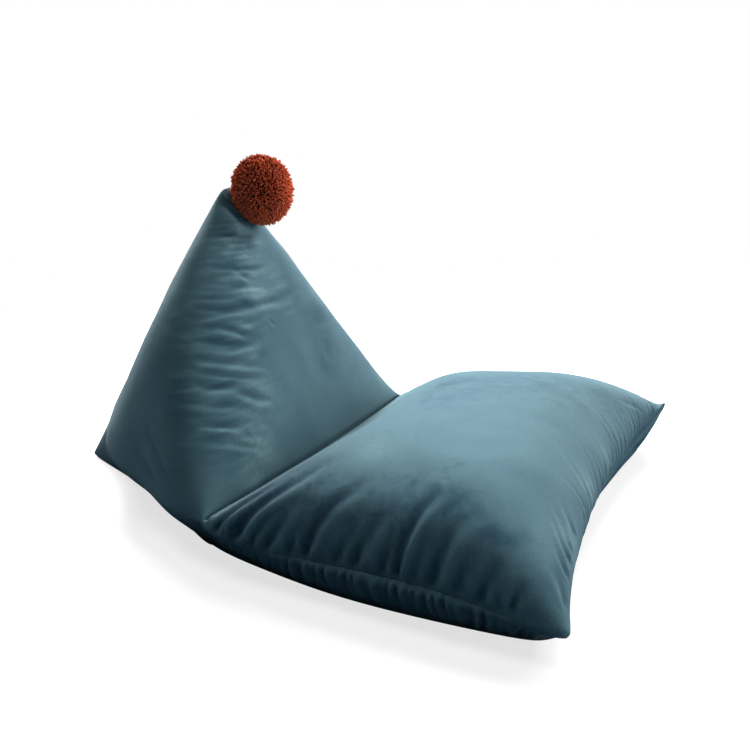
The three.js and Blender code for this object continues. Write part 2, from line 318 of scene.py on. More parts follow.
# Folds and puckers, placed by the photo's pixels on the cloth they lie on.
# Each row: width mm, depth mm, lip from -1 left to 1 right, held, pixels it runs through.
# held: 1 starts at a seam or crease and runs out, 0 runs out at both ends
foldSettings = {
    "seatCrown": (
        (5, 4.0, 0.6, 1, ((204, 519), (210, 511), (221, 503), (238, 496))),
        (7, 6.5, 0.7, 1, (
            (230, 544), (240, 529), (250, 515), (264, 503), (284, 490), (310, 473), (334, 456),
        )),
        (6, 3.4, -0.5, 1, ((214, 533), (224, 519), (240, 506), (262, 493), (290, 476))),
        (6, 3.2, 0.5, 1, ((247, 548), (255, 534), (266, 521), (282, 507), (300, 495))),
        (7, 4.0, 0.4, 1, ((263, 551), (272, 537), (281, 524), (292, 510), (308, 498))),
        (6, 2.6, -0.4, 1, ((284, 556), (292, 541), (300, 527), (312, 513))),
        (7, 5.0, 0.6, 1, (
            (303, 558), (309, 542), (316, 527), (322, 518), (333, 505), (348, 493), (370, 478),
        )),
        (6, 2.8, -0.4, 1, ((332, 566), (342, 548), (353, 530), (366, 515))),
        (6, 3.6, 0.5, 1, ((351, 571), (355, 561), (365, 541), (376, 525), (389, 509))),
        (6, 3.6, -0.6, 1, ((378, 576), (386, 559), (393, 544), (398, 530))),
        (5, 5.4, 0.6, 1, (
            (396, 580), (399, 562), (404, 544), (412, 527), (422, 511), (437, 496), (450, 487),
        )),
        (5, 1.6, 0.3, 1, ((414, 580), (418, 566), (424, 552), (431, 538))),
        (7, 4.4, 0.6, 1, ((432, 588), (436, 571), (442, 552), (452, 533), (465, 515))),
        (6, 2.4, 0.4, 1, ((457, 595), (461, 580), (468, 564), (476, 551))),
        (6, 3.4, 0.5, 1, ((480, 602), (485, 587), (492, 571), (501, 558))),
        (5, 2.6, -0.3, 1, ((511, 609), (517, 595), (526, 581))),
        (3, 3.0, 0.2, 1, ((393, 389), (396, 392), (400, 396))),
        (4, 2.6, 0.5, 1, ((571, 562), (566, 551), (560, 533), (553, 515))),
        (4, 2.0, 0.4, 1, ((572, 552), (568, 541), (562, 523), (554, 503))),
        (4, 2.2, 0.5, 1, ((568, 577), (565, 570), (560, 556), (555, 538))),
        (5, 2.0, -0.4, 1, ((565, 607), (563, 595), (559, 581), (553, 566))),
        (4, 1.6, 0.4, 1, ((575, 535), (570, 522), (562, 502))),
    ),
    "backCrown": (
        (5, 2.6, 0.4, 0, (
            (192, 309), (206, 310), (222, 309), (240, 306), (257, 305), (279, 299),
        )),
        (5, 2.4, 0.4, 0, ((204, 316), (224, 314), (242, 311), (258, 309))),
        (6, 2.8, 0.3, 0, ((196, 331), (216, 327), (232, 330), (246, 334), (262, 332))),
        (6, 3.0, 0.5, 0, ((190, 341), (206, 342), (226, 343), (242, 341), (264, 339))),
        (5, 2.6, 0.5, 0, ((216, 353), (232, 350), (246, 346), (258, 343))),
        (6, 2.2, 0.3, 0, ((232, 391), (246, 394), (258, 398), (272, 399))),
        (6, 2.0, 0.3, 0, ((192, 385), (208, 387), (224, 386), (240, 382))),
        (5, 2.2, 0.4, 0, ((210, 267), (226, 265), (240, 268), (252, 269), (264, 266))),
        (5, 1.8, 0.3, 0, ((233, 269), (241, 275), (252, 281))),
        (3, 0.9, 0.3, 0, ((268, 319), (272, 323), (276, 326))),
        (5, -3.4, 0.3, 0, ((221, 193), (226, 199), (233, 206), (242, 215), (252, 224))),
        (7, 1.6, 0.3, 0, ((146, 427), (154, 449), (167, 480), (180, 505))),
        (7, 1.3, 0.3, 0, ((128, 430), (136, 448), (150, 474), (164, 494))),
        (6, 1.6, -0.2, 0, ((262, 303), (276, 300), (290, 291))),
    ),
    # pile brushed paler (1) or pressed darker (-1), partly painted light and painted shade: the pale
    # spots by the tip lift the pompom's shadow and the widest dark spots paint shade on the seat's far
    # side. Columns: radius mm, strength, photo pixel
    "nap": (
        (9, -0.9, 449, 500), (7, -0.8, 458, 497), (22, -0.4, 480, 520), (12, -0.9, 497, 531),
        (9, -0.8, 510, 541), (10, -0.6, 524, 535), (8, -0.7, 437, 487), (14, -0.5, 418, 476),
        (14, -0.4, 246, 304), (12, -0.4, 262, 352), (16, -0.4, 232, 394), (20, -0.3, 560, 560),
        (110, -0.6, 440, 392), (80, -0.5, 560, 388), (45, -0.8, 262, 500), (50, -0.75, 330, 505),
        (45, -0.75, 395, 508), (34, -0.7, 445, 506), (30, -0.5, 100, 455), (24, -0.3, 330, 345),
        (26, -0.6, 236, 524), (30, 0.5, 240, 250), (18, 1.0, 238, 222), (13, 1.0, 229, 207),
        (24, 0.5, 260, 296), (36, 0.4, 262, 448), (30, 0.2, 262, 396), (26, 0.3, 572, 545),
        (22, 0.3, 250, 480), (26, 0.3, 270, 268), (16, 0.5, 254, 236),
        (34, 0.3, 362, 452), (30, 0.3, 590, 490), (24, 0.3, 604, 452), (34, -0.45, 325, 362),
        (36, -0.35, 478, 575), (36, -0.7, 288, 480), (30, -0.5, 322, 464), (20, -0.8, 108, 440),
        (14, -0.5, 398, 402), (12, 1.0, 244, 228), (30, -0.3, 545, 590),
    ),
    # places filled fuller or slacker than the plain form: radius mm, mm, photo pixel
    "fuller": (
        (40, 4.5, 284, 262), (24, 3, 318, 306), (80, 3.5, 480, 378), (26, 3, 636, 402),
        (26, 3, 600, 388), (60, 2.8, 172, 330), (40, 2.4, 204, 250), (22, 2.5, 552, 630),
    ),
    # fine lines of turned pile among the ripples, same columns
    "streaks": (
        (48, 0.9, 232, 240), (54, 0.9, 226, 285), (60, 0.9, 222, 335), (60, 0.8, 222, 385),
        (54, 0.6, 226, 430), (36, 0.5, 168, 330), (36, 0.4, 285, 300),
    ),
    "streakSize": (42, 42, 5.5), "streakSeed": 5,
    # soft ripples across the back's left front ridge, one every few pixels down it
    "ripples": {
        "fromY": 222, "toY": 452, "step": 6.3, "atX": (226, 221), "halfLength": (18, 44),
        "width": 4.2, "depth": (0.6, 1.7), "seed": 31,
        "edgeX": 221, "edgeSlope": 0.42,        # the outline that they stop at
    },
    # a fold more than sideFrom mm from the middle has a shallower twin on the hidden side
    "sideFrom": 45, "twinShift": (0, 9, 5),
    "twinDepth": {"seatCrown": (0.5, 1), "backCrown": (0.1, 0.25)},
    "clothDepth": 9,        # mm through the bag that a fold reaches
}


def rippleFolds(r):
    rng = np.random.default_rng(r["seed"])
    folds = []
    y = r["fromY"]
    while y < r["toY"]:
        down = (y - r["fromY"]) / (r["toY"] - r["fromY"])
        middle = mix(*r["atX"], down) + rng.uniform(-10, 10)
        half = rng.uniform(*r["halfLength"]) * (0.6 + 0.6 * down)
        tilt, bow = rng.uniform(-0.1, 0.1), rng.uniform(-4, 4)
        points = []
        for t in (-1, -0.5, 0, 0.5, 1):
            px, py = middle + half * t, y + half * t * tilt + bow * (1 - t * t)
            points.append((max(px, r["edgeX"] - r["edgeSlope"] * (py - r["fromY"])), py))
        wide, deep = r["width"] * rng.uniform(0.8, 1.2), rng.uniform(*r["depth"])
        folds.append((wide, deep, rng.uniform(0, 0.5), 0, points))
        y += r["step"] * rng.uniform(0.7, 1.3)
    return tuple(folds)


def photoRay(px, py):
    # start and direction of the sight line through a pixel of the photo
    view = bpy.context.scene.camera.matrix_world
    size = cameraSettings["photoSize"]
    spread = cameraSettings["sensor"] / cameraSettings["lens"] / size
    direction = view.to_3x3() @ Vector(((px - size / 2) * spread, (size / 2 - py) * spread, -1))
    return view.translation, direction.normalized()


def smoothPath(points, count):
    # a Catmull-Rom curve through the points
    p = np.array(points, float)
    p = np.concatenate([2 * p[:1] - p[1:2], p, 2 * p[-1:] - p[-2:-1]])
    at = np.linspace(0, len(p) - 3 - 1e-6, count)
    i = at.astype(int)
    t = (at - i)[:, None]
    a, b, c, d = p[i], p[i + 1], p[i + 2], p[i + 3]
    bend, twist = 2 * a - 5 * b + 4 * c - d, 3 * b - a - 3 * c + d
    return 0.5 * (2 * b + (c - a) * t + bend * t ** 2 + twist * t ** 3)


def photoPath(tree, points, count=40, spacing=2, fewest=6):
    # the pixel path laid on the cloth, in millimetres
    path = []
    for px, py in smoothPath(points, count):
        start, direction = photoRay(px, py)
        hit = tree.ray_cast(start, direction)[0]
        if hit is not None:
            path.append(hit / mm)
    if len(path) < fewest:
        return np.zeros((0, 3))
    path = np.array(path)
    run = np.concatenate([[0], np.cumsum(np.linalg.norm(np.diff(path, axis=0), axis=1))])
    even = np.linspace(0, run[-1], int(run[-1] / spacing) + fewest)
    return np.stack([np.interp(even, run, path[:, i]) for i in range(3)], -1)


def foldProfile(u, lip):
    # a valley between two soft shoulders
    at, wide, tall = 1.9, 1.1, 0.42
    right, left = np.exp(-((u - at) / wide) ** 2), np.exp(-((u + at) / wide) ** 2)
    return tall * ((1 + lip) * right + (1 - lip) * left) - np.exp(-u ** 2)


def pathFold(grid, normal, region, path, width, depth, lip, held):
    # heights along the normals for one fold that follows a path
    lift = np.zeros(grid.shape[:2])
    if not len(path):
        return lift
    reach = width * 6
    inBox = (grid > path.min(0) - reach) & (grid < path.max(0) + reach)
    near = region & np.all(inBox, -1)
    p = grid[near]
    if not len(p):
        return lift
    nearest = np.linalg.norm(p[:, None] - path[None], axis=-1).argmin(1)
    tangent = np.gradient(path, axis=0)
    tangent /= np.linalg.norm(tangent, axis=-1, keepdims=True)
    side = np.cross(tangent[nearest], normal[near])
    offset = p - path[nearest]
    aside, past, through = (
        np.einsum("ij,ij->i", offset, way) for way in (side, tangent[nearest], normal[near])
    )
    t = nearest / (len(path) - 1)
    wide = width * (0.7 + 0.6 * t if held else 1)
    fade = (1 - t) ** 0.8 * smooth(t * 10 + 0.35) if held else np.sin(math.pi * t) ** 0.8
    fade = fade * np.exp(-(past / width) ** 2)
    fade = fade * np.exp(-(through / foldSettings["clothDepth"]) ** 2)
    lift[near] = depth * fade * foldProfile(aside / wide, lip)
    return lift


# Rows of short puckers that start on a seam. Each row: side -1 left, 1 right or 0 front,
# then mm along the seam from the front: start, stop, step, length, width, depth; and slant
combSettings = {
    "crown": (
        (-1, 40, 420, 12, 36, 3.4, 1.2, 0), (-1, 60, 420, 37, 80, 6, 1.0, 0),
        (1, 40, 420, 12, 38, 3.6, 1.6, 0), (1, 60, 420, 29, 95, 7, 2.4, 0.1),
    ),
    "base": (
        (-1, 25, 465, 10.5, 60, 3.1, 4.8, 0.45), (1, 25, 465, 10.5, 54, 3.1, 4.2, 0.45),
    ),
    # the same from the front seam, from the left corner to the right
    "frontCrown": (
        (0, 60, 300, 17, 44, 7, 3.4, 2.4), (0, 150, 600, 9, 70, 2.6, 1.3, 0.5),
        (0, 170, 590, 21, 105, 3.0, 1.5, 0.5),
    ),
    "frontBase": ((0, 20, 600, 12, 30, 3.4, 1.5, 0),),
    "seed": 7,
    "seamDip": 0.2, "seamWidth": 2.0,       # the sewn line lies a little deeper
    "seamFill": 1.7, "fillWidth": 6,        # fullness of the seam allowance inside
    # the crease's tone is a painted shade line along it
    "creaseShade": 1.8, "creaseDip": 1.5, "creaseRows": 1.6,     # tighter along the crease
    "creaseFade": 25, "creaseEnds": 12,
    "seamHold": 0.12, "holdWidth": 14,      # how little a fold may move the seam itself
    "foldShadeDepth": 4,         # mm of fold that gives its full painted highlight or shade
}


def frontDistance(grid):
    # millimetres run from the front seam to each point
    step = np.linalg.norm(np.diff(grid, axis=0), axis=-1)
    return np.concatenate([np.zeros((1, grid.shape[1])), np.cumsum(step, 0)])


def seamLengths(grid, b):
    # how far each row is along the side seams, and each crown point along the front seam
    lines = grid[:, 0], grid[:, b["crownSteps"]], grid[0, :b["crownSteps"] + 1]
    steps = [np.linalg.norm(np.diff(line, axis=0), axis=-1) for line in lines]
    return [np.concatenate([[0], np.cumsum(step)]) for step in steps]


def comb(along, across, row, rng):
    # along runs by the seam, across away from it
    _, start, stop, step, length, width, depth, lean = row
    lift = np.zeros(np.broadcast(along, across).shape)
    place = start + rng.uniform(0, step)
    while place < stop:
        tall = length * rng.uniform(0.5, 1.25)
        wide = width * rng.uniform(0.75, 1.25)
        slant = lean + rng.uniform(-0.16, 0.16)
        bend = rng.uniform(-0.0025, 0.0025)
        deep = depth * rng.uniform(0.35, 1.3)
        t = across / tall
        u = along - place - slant * across - bend * across ** 2
        u = u / (wide * (0.8 + 0.5 * clip01(t)))
        fade = (1 - smooth(t)) * smooth(across / 3 + 0.4)
        lift += deep * fade * foldProfile(u, rng.uniform(-0.5, 0.5))
        place += step * rng.uniform(0.65, 1.35)
    return lift


def seamCombs(grid, about, b, c):
    rng = np.random.default_rng(c["seed"])
    size, crown = grid.shape[1], b["crownSteps"]
    leftSeam, rightSeam, frontSeam = seamLengths(grid, b)
    seams = {-1: leftSeam, 1: rightSeam}
    lift = np.zeros(grid.shape[:2])
    onCrown = slice(0, crown + 1)
    fadeCrease = smooth((leftSeam[b["seatRows"] + 1] - leftSeam) / c["creaseFade"])[:, None]
    for row in c["crown"]:
        fromSeam = about["fromLeft"] if row[0] < 0 else about["crownLength"] - about["fromLeft"]
        lift[:, onCrown] += comb(seams[row[0]][:, None], fromSeam, row, rng) * fadeCrease
    for row in c["base"]:
        side = row[0]
        first, sewn = (size - 1, 0) if side < 0 else (crown + 1, crown)
        columns = [(first + side * k) % size for k in range(b["sideSteps"] + 6)]
        fromSeam = np.linalg.norm(grid[:, columns] - grid[:, sewn:sewn + 1], axis=-1)
        lift[:, columns] += comb(seams[side][:, None], fromSeam, row, rng) * fadeCrease
    fromFront = frontDistance(grid)
    for row in c["frontCrown"]:
        lift[:, onCrown] += comb(frontSeam[None, :], fromFront[:, onCrown], row, rng)
    under = [0] + list(range(size - 1, crown - 1, -1))
    underPlace = np.interp(grid[0, under, 0], grid[0, onCrown, 0], frontSeam)
    for row in c["frontBase"]:
        lift[:, under] += comb(underPlace[None, :], fromFront[:, under], row, rng)
    return lift


def seamDistance(grid, b):
    # mm from the nearest sewn line: two sides of the seat, its front and the rear of the back
    crown = b["crownSteps"]
    fromFront = frontDistance(grid)
    left = np.linalg.norm(grid - grid[:, :1], axis=-1)
    right = np.linalg.norm(grid - grid[:, crown:crown + 1], axis=-1)
    pastSeat = np.maximum(np.arange(len(grid)) - b["seatRows"], 0)[:, None] * 3
    fromRear = fromFront[-1:] - fromFront
    return np.minimum.reduce([left + pastSeat, right + pastSeat, fromFront, fromRear])


def gentle(grid, scale, seed):
    # slow unevenness, -1 to 1; scale in mm, one number or one for each axis
    offset = Vector((seed * 3.1, seed * 1.7, seed * 2.3))
    flat = grid.reshape(-1, 3) / scale
    values = [noise.noise(Vector(p) + offset) for p in flat.tolist()]
    return np.array(values).reshape(grid.shape[:2])


def spots(grid, tree, table):
    # a soft round mark for each row of a table of radius, strength and photo pixel
    marks = []
    for radius, strength, x, y in table:
        start, direction = photoRay(x, y)
        place = np.array(tree.ray_cast(start, direction)[0]) / mm
        marks.append(strength * np.exp(-(np.linalg.norm(grid - place, axis=-1) / radius) ** 2))
    return marks


def frontSwell(grid, b):
    # how far the base swells past the front seam, most by the raised ear
    fromFront = frontDistance(grid)
    under = np.arange(grid.shape[1])[None, :] > b["crownSteps"]
    across = grid[..., 0]
    low, high = b["swellAcross"]
    nearEar = mix(b["swellLeast"], 1, smooth((across - low) / (high - low)))
    nearEar = nearEar * smooth((b["halfFront"] - np.abs(across)) / b["swellEnds"])
    past = np.maximum(fromFront - b["swellRise"], 0)
    rise = smooth(fromFront / b["swellRise"]) * np.exp(-(past / b["swellRun"]) ** 2)
    seamIn = b["seamIn"] * np.exp(-(fromFront / b["swellRise"]) ** 2)
    return nearEar * (b["frontSwell"] * under * rise - seamIn)


def gridIndex(grid):
    return np.arange(grid.shape[0])[:, None], np.arange(grid.shape[1])[None, :]


def layFolds(grid, about, normal, tree, b):
    # heights of all the puckers and folds along the normals
    row, ring = gridIndex(grid)
    onCrown = ring <= b["crownSteps"]
    regions = {
        "seatCrown": (row <= b["seatRows"]) & onCrown, "backCrown": (row > b["seatRows"]) & onCrown,
    }
    f = foldSettings
    rows = {"seatCrown": f["seatCrown"], "backCrown": f["backCrown"] + rippleFolds(f["ripples"])}
    lift = seamCombs(grid, about, b, combSettings)
    rng = np.random.default_rng(combSettings["seed"] + 1)
    for name, region in regions.items():
        for width, depth, lip, held, points in rows[name]:
            path = photoPath(tree, points)
            lift += pathFold(grid, normal, region, path, width, depth, lip, held)
            if len(path) and abs(path[:, 0].mean()) > f["sideFrom"]:
                twin = path * (-1, 1, 1) + rng.normal(0, f["twinShift"])
                share = rng.uniform(*f["twinDepth"][name])
                lift += share * pathFold(grid, normal, region, twin, width, depth, -lip, held)
    return lift


def sewnLines(grid, b, c):
    # mm from a seam, a mask of the dark seam lines with a painted shade line along the crease, and the
    # crease's mask
    row, ring = gridIndex(grid)
    distance = seamDistance(grid, b)
    crease = np.exp(-((row - b["seatRows"] - 0.5) / c["creaseRows"]) ** 2)
    crease = crease * (ring <= b["crownSteps"]) * smooth(distance / c["creaseEnds"])
    nearSeamAndCreaseShade = np.exp(-(distance / c["seamWidth"]) ** 2)
    return distance, np.maximum(nearSeamAndCreaseShade, c["creaseShade"] * crease), crease


def sidePanel(grid, b):
    # mask of the base panel's sides, and the share of the way down them
    row, ring = gridIndex(grid)
    size, crown, steps = grid.shape[1], b["crownSteps"], b["sideSteps"]
    side = (ring > crown) & ((ring <= crown + steps) | (ring > size - steps))
    return side, np.where(ring <= crown + steps, ring - crown, size - ring) / steps


def pileMarksAndPaintedLight(grid, tree, b):
    # where the pile is brushed paler, above 0, or pressed darker, below 0, with painted light and
    # painted shade among these marks, and painted shade darkening the sides of the base downwards
    side, down = sidePanel(grid, b)
    nap = sum(spots(grid, tree, foldSettings["nap"])) - b["baseShade"] * side * smooth(down * 3)
    lying = np.maximum.reduce(spots(grid, tree, foldSettings["streaks"]))
    return nap + lying * gentle(grid, foldSettings["streakSize"], foldSettings["streakSeed"])


def foldedBag(grid, about, b):
    c = combSettings
    normal, tree = gridNormals(grid), treeOf(grid)
    row, ring = gridIndex(grid)
    lift = layFolds(grid, about, normal, tree, b)
    distance, nearSeamAndCreaseShade, crease = sewnLines(grid, b, c)
    lift *= mix(c["seamHold"], 1, smooth(distance / c["holdWidth"]))
    # painted highlight on fold ridges and painted shade in fold valleys, from the fold heights
    foldLightAndShade = np.clip(lift / c["foldShadeDepth"], -1, 1)
    lift += c["seamFill"] * np.exp(-(distance / c["fillWidth"]) ** 2)
    lift -= c["seamDip"] * nearSeamAndCreaseShade + c["creaseDip"] * crease
    side, down = sidePanel(grid, b)
    belowCrease = np.exp(-((row - b["seatRows"]) / b["footRows"]) ** 2)
    lift += b["footSwell"] * side * np.sin(math.pi * clip01(down)) * belowCrease
    for height, length, seed in b["slowWaves"]:
        lift += height * gentle(grid, length, seed)
    lift = np.clip(lift * smooth(grid[..., 2] / b["floorFade"]), *b["liftLimits"])
    lift += sum(spots(grid, tree, foldSettings["fuller"]))
    swell = frontSwell(grid, b)
    # nap holds the pile marks with their painted light and shade, plus painted shade on the base strip
    # swelling out under the front seam
    nap = pileMarksAndPaintedLight(grid, tree, b) - (ring > b["crownSteps"]) * clip01(swell)
    moved = grid + normal * lift[..., None]
    moved += swell[..., None] * smooth(grid[..., 2:] / 20) * (0, -1, -0.1)
    return moved, {"foldLightAndShade": foldLightAndShade, "nearSeamAndCreaseShade": nearSeamAndCreaseShade, "nap": nap}


grid, about = bagGrid(bagSettings)
grid, marks = foldedBag(onCadBag(grid), about, bagSettings)
print("folds laid on the bag")

bagObject = bpy.data.objects.new("velvetCover", bagMesh("velvetCover", grid, bagSettings, marks))
bpy.context.collection.objects.link(bagObject)
print("bag mesh", len(bagObject.data.polygons), "faces")


# Parts of materials that the velvet and the yarn share
def newMaterial(name, roughness, specular):
    material = bpy.data.materials.new(name)
    material.use_nodes = True
    shader = material.node_tree.nodes["Principled BSDF"]
    shader.inputs["Roughness"].default_value = roughness
    shader.inputs["Specular IOR Level"].default_value = specular
    return material, material.node_tree, shader


def newGroup(name, numbers, outputs):
    # a node group that is given a place and some numbers, and gives masks and heights
    tree = bpy.data.node_groups.new(name, "ShaderNodeTree")
    face = tree.interface
    face.new_socket(name="Place", in_out="INPUT", socket_type="NodeSocketVector")
    for title, value in numbers.items():
        socket = face.new_socket(name=title, in_out="INPUT", socket_type="NodeSocketFloat")
        socket.default_value = value
    for title in outputs:
        face.new_socket(name=title, in_out="OUTPUT", socket_type="NodeSocketFloat")
    given, result = tree.nodes.new("NodeGroupInput"), tree.nodes.new("NodeGroupOutput")
    return tree, given.outputs, result.inputs


def groupNode(tree, group, place, values):
    node = tree.nodes.new("ShaderNodeGroup")
    node.node_tree = group
    tree.links.new(place, node.inputs["Place"])
    for title, value in values.items():
        node.inputs[title].default_value = value
    return node.outputs


def feed(tree, socket, value):
    # links another node's output, or sets a plain value
    if isinstance(value, bpy.types.NodeSocket):
        tree.links.new(value, socket)
    else:
        socket.default_value = value


def noiseNode(tree, place, scale, detail, roughness=0.5, distortion=0):
    node = tree.nodes.new("ShaderNodeTexNoise")
    tree.links.new(place, node.inputs["Vector"])
    feed(tree, node.inputs["Scale"], scale)
    node.inputs["Detail"].default_value = detail
    node.inputs["Roughness"].default_value = roughness
    node.inputs["Distortion"].default_value = distortion
    return node.outputs["Fac"]


def mapped(tree, value, low, high, toLow=0, toHigh=1, kind="LINEAR"):
    node = tree.nodes.new("ShaderNodeMapRange")
    node.interpolation_type = kind
    tree.links.new(value, node.inputs["Value"])
    for title, limit in zip(("From Min", "From Max", "To Min", "To Max"), (low, high, toLow, toHigh)):
        node.inputs[title].default_value = limit
    return node.outputs["Result"]


def mathNode(tree, operation, *values):
    node = tree.nodes.new("ShaderNodeMath")
    node.operation = operation
    for socket, value in zip(node.inputs, values):
        feed(tree, socket, value)
    return node.outputs["Value"]


def mixedColour(tree, first, second, factor, blend="MIX"):
    node = tree.nodes.new("ShaderNodeMix")
    node.data_type = "RGBA"
    node.blend_type = blend
    for title, value in (("A", first), ("B", second), ("Factor", factor)):
        feed(tree, node.inputs[title], value)
    return node.outputs["Result"]


def attributeOf(tree, name):
    node = tree.nodes.new("ShaderNodeAttribute")
    node.attribute_name = name
    return node.outputs["Fac"]


def addTone(tree, below, tone, share, mask):
    # lays one tone over the colour so far, where the mask says
    return mixedColour(tree, below, tone, mathNode(tree, "MULTIPLY", mask, share))


def addFibres(tree, shader, colour, fibres, share, bump, bumpDepth):
    # lighter and darker fibre tips over the colour, and their height
    fleck = mapped(tree, fibres["Fleck"], 0.3, 0.7, 1 - share, 1 + share)
    tree.links.new(mixedColour(tree, colour, fleck, 1, "MULTIPLY"), shader.inputs["Base Color"])
    node = tree.nodes.new("ShaderNodeBump")
    node.inputs["Strength"].default_value = bump
    node.inputs["Distance"].default_value = bumpDepth
    tree.links.new(fibres["Height"], node.inputs["Height"])
    tree.links.new(node.outputs["Normal"], shader.inputs["Normal"])


def fibreGroup():
    # tips of short fibres: a fleck mask and a height for bump
    tree, given, result = newGroup("fibreTips", {"Scale": 900}, ("Fleck", "Height"))
    tips = noiseNode(tree, given["Place"], given["Scale"], 2, 0.7)
    tufts = tree.nodes.new("ShaderNodeTexVoronoi")
    tufts.feature = "SMOOTH_F1"
    tree.links.new(given["Place"], tufts.inputs["Vector"])
    tree.links.new(given["Scale"], tufts.inputs["Scale"])
    height = mathNode(tree, "MULTIPLY_ADD", tufts.outputs["Distance"], 0.5, tips)
    tree.links.new(tips, result["Fleck"])
    tree.links.new(height, result["Height"])
    return tree


def napGroup():
    # where hands have brushed the pile: broad soft patches and small smudges
    tree, given, result = newGroup(
        "brushedNap", {"Patches": 7, "Smudges": 34}, ("Patch", "Smudge", "Fine"),
    )
    broad = noiseNode(tree, given["Place"], given["Patches"], 4, 0.55, 0.6)
    small = noiseNode(tree, given["Place"], given["Smudges"], 5, 0.6, 1.2)
    where = noiseNode(tree, given["Place"], 5, 1)
    edge = mapped(tree, small, 0.58, 0.74)
    gate = mapped(tree, where, 0.48, 0.62)
    tree.links.new(broad, result["Patch"])
    tree.links.new(mathNode(tree, "MULTIPLY", edge, gate), result["Smudge"])
    tree.links.new(small, result["Fine"])
    return tree


fibreTips = fibreGroup()
brushedNap = napGroup()


# Velvet: deep teal in the pile, paler where it is brushed over; painted highlight on fold ridges and
# painted shade in fold valleys and along the crease
velvetSettings = {
    "deep": (0.0315, 0.068, 0.086, 1),
    "pale": (0.044, 0.087, 0.104, 1),
    "smudge": (0.022, 0.052, 0.074, 1),
    "ridgeHighlight": (0.062, 0.115, 0.136, 1),
    "valleyShade": (0.017, 0.042, 0.060, 1),
    # dark seam lines, and the painted shade line along the crease
    "seam": (0.014, 0.034, 0.048, 1),
    # pile brushed paler or pressed darker, partly painted light and painted shade
    "brushedAndPaintedLight": (0.118, 0.190, 0.208, 1),
    "pressedAndPaintedShade": (0.012, 0.035, 0.053, 1),
    "smudgeShare": 0.6, "napAndPaintedLightShare": 0.9,
    "ridgeHighlightShare": 0.6, "valleyShadeShare": 0.85, "seamAndCreaseShadeShare": 0.3,
    "napUneven": (0.55, 1.15),      # how much of a brushed mark shows from place to place
    "patches": {"Patches": 7.0, "Smudges": 34.0},
    "fibres": {"Scale": 900.0},
    "fleckShare": 0.22,
    "bump": 0.16, "bumpDepth": 0.0006,
    "sheen": 0.05, "sheenRoughness": 0.5, "sheenTint": (0.85, 0.9, 0.85, 1),
    "roughness": (0.82, 0.95),
}


def pileColour(tree, v, nap):
    # slow patches and smudges, then the places brushed paler or pressed darker, which include painted
    # light and painted shade
    patch = mapped(tree, nap["Patch"], 0.36, 0.64)
    colour = mixedColour(tree, v["deep"], v["pale"], patch)
    colour = addTone(tree, colour, v["smudge"], v["smudgeShare"], nap["Smudge"])
    uneven = mapped(tree, nap["Fine"], 0.4, 0.6, *v["napUneven"])
    marks = mathNode(tree, "MULTIPLY", attributeOf(tree, "nap"), uneven)
    for tone, most in ((v["brushedAndPaintedLight"], 1), (v["pressedAndPaintedShade"], -1)):
        part = mapped(tree, marks, 0, most)
        colour = addTone(tree, colour, tone, v["napAndPaintedLightShare"], part)
    return colour


def velvetMaterial(v):
    material, tree, shader = newMaterial("velvet", v["roughness"][0], 0.02)
    shader.inputs["Sheen Weight"].default_value = v["sheen"]
    shader.inputs["Sheen Roughness"].default_value = v["sheenRoughness"]
    shader.inputs["Sheen Tint"].default_value = v["sheenTint"]
    place = tree.nodes.new("ShaderNodeTexCoord").outputs["Object"]
    nap = groupNode(tree, brushedNap, place, v["patches"])
    fibres = groupNode(tree, fibreTips, place, v["fibres"])
    colour = pileColour(tree, v, nap)
    fold = attributeOf(tree, "foldLightAndShade")
    # painted highlight on the ridges and painted shade in the valleys of the folds
    ridgeHighlight = mapped(tree, fold, 0.05, 0.8)
    valleyShade = mapped(tree, fold, -0.05, -0.8)
    colour = addTone(tree, colour, v["ridgeHighlight"], v["ridgeHighlightShare"], ridgeHighlight)
    colour = addTone(tree, colour, v["valleyShade"], v["valleyShadeShare"], valleyShade)
    # dark seam lines, and painted shade along the crease
    colour = addTone(tree, colour, v["seam"], v["seamAndCreaseShadeShare"], attributeOf(tree, "nearSeamAndCreaseShade"))
    addFibres(tree, shader, colour, fibres, v["fleckShare"], v["bump"], v["bumpDepth"])
    rough = mapped(tree, nap["Patch"], 0.3, 0.7, *v["roughness"])
    tree.links.new(rough, shader.inputs["Roughness"])
    return material


bagObject.data.materials.append(velvetMaterial(velvetSettings))
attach(bagObject, "root")
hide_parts("velvet_bag")


